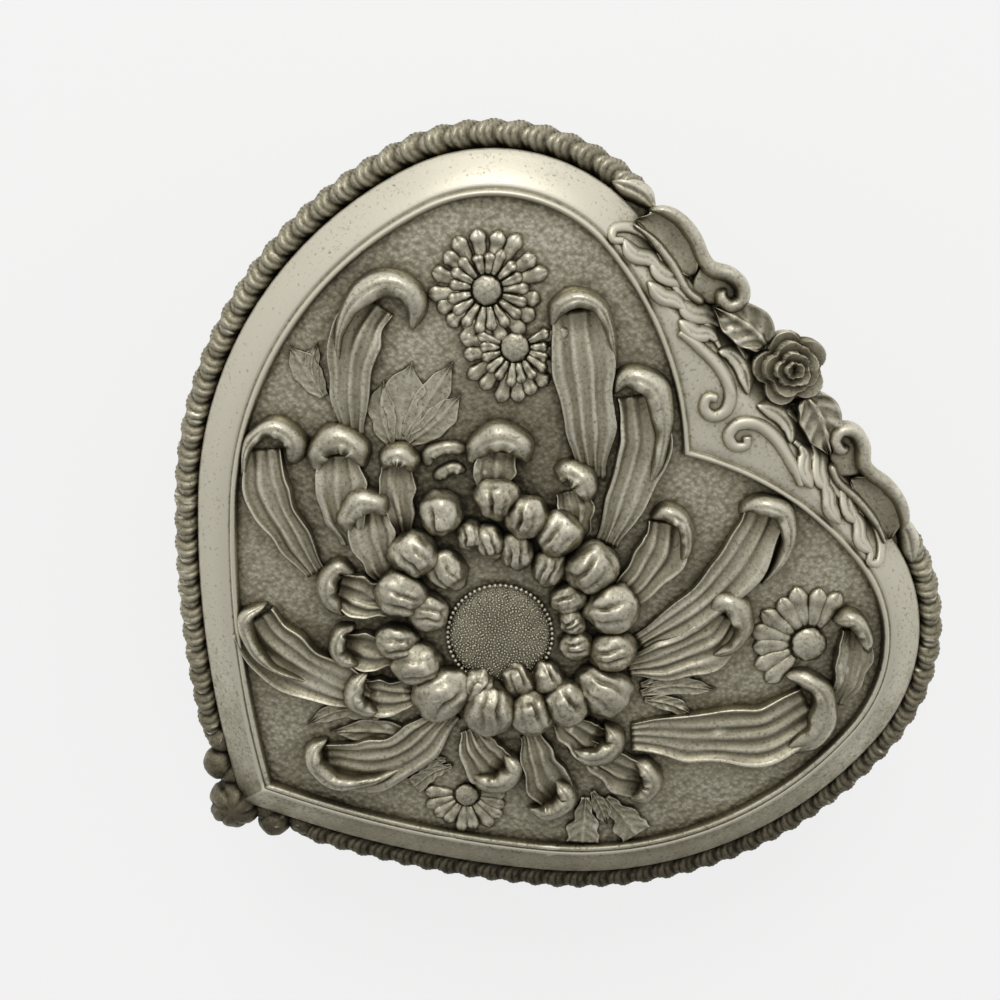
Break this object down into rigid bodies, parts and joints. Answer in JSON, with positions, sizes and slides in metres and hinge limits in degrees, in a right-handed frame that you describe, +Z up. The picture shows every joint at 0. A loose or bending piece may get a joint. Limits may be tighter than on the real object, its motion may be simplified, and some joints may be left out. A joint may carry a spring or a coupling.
{
  "type": "heart-shaped jewelry box",
  "caption": "Heart-shaped jewelry box: hinged lid with flowers in relief inside a roped border, scroll crest at the cleft, lined well and bun feet.",
  "frame": {"origin": "on the table under the middle of the box's bounding box", "axes": "+Z up out of the lid, +Y to the hinge at the heart's cleft, -Y to the tip, +X to the right seen from the tip"},
  "size_m": [0.1206, 0.1158, 0.0499],
  "materials": {
    "silver_plate": "worn silver plate with dark patina in the recesses",
    "velvet": "short-pile velvet over card and wadding"
  },
  "bodies": {
    "base": {"base_wall": "silver_plate", "base_floor": "silver_plate", "base_bezel": "silver_plate", "base_moulding_left": "silver_plate", "base_moulding_right": "silver_plate", "foot_tip": "silver_plate", "foot_left": "silver_plate", "foot_right": "silver_plate", "base_hinge_leaf": "silver_plate", "hinge_pin": "silver_plate", "wall_lining": "velvet", "floor_pad": "velvet"},
    "lid": {"lid_frame": "silver_plate", "relief_panel": "silver_plate", "chrysanthemum_petals": "silver_plate", "chrysanthemum_heart": "silver_plate", "daisy_upper": "silver_plate", "daisy_second": "silver_plate", "daisy_right": "silver_plate", "daisy_tip": "silver_plate", "leaf_spray_upper": "silver_plate", "leaf_spray_tip": "silver_plate", "leaf_pair_flank": "silver_plate", "lid_rope_left": "silver_plate", "lid_rope_right": "silver_plate", "tip_boss": "silver_plate", "tip_bead_left": "silver_plate", "tip_bead_right": "silver_plate", "crest_scroll_left": "silver_plate", "crest_scroll_right": "silver_plate", "crest_rose": "silver_plate", "acanthus_left": "silver_plate", "acanthus_right": "silver_plate", "lid_hinge_leaf": "silver_plate", "lid_lining": "velvet"}
  },
  "joints": [
    {"name": "lid_hinge", "type": "hinge", "parent": "base", "child": "lid", "pos_m": [0, 0.05306, 0.038], "axis": [-1, 0, 0], "range_deg": [0, 100]}
  ]
}
